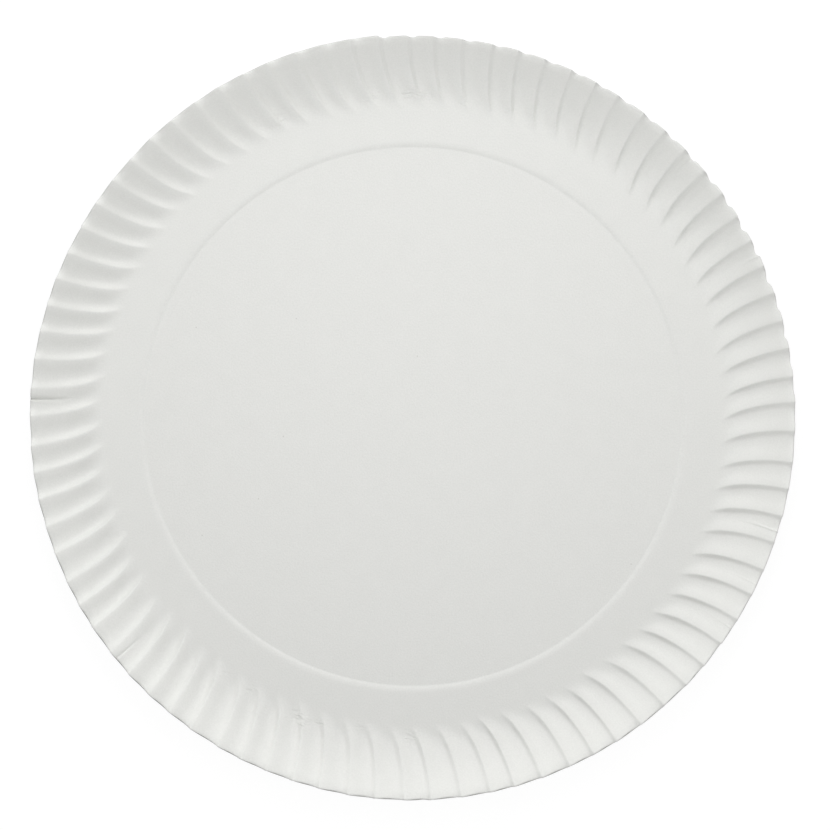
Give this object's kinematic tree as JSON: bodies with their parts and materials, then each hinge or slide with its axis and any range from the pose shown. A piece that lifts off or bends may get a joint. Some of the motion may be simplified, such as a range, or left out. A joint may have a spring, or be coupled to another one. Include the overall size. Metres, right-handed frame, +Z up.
{
  "type": "paper plate",
  "caption": "Round white paper plate: a flat disc with a low pressed ring around it and a shallow, upward-curving rim of fine swirled flutes.",
  "frame": {"origin": "centre of the plate on the plane it stands on", "axes": "+Z up out of the dish; +X and +Y in the plane of the base, with +X meeting the edge halfway between two flute crests"},
  "size_m": [0.23, 0.23, 0.016],
  "materials": {
    "white_board": "uncoated matte"
  },
  "bodies": {
    "root": {"plate": "white_board"}
  },
  "joints": []
}
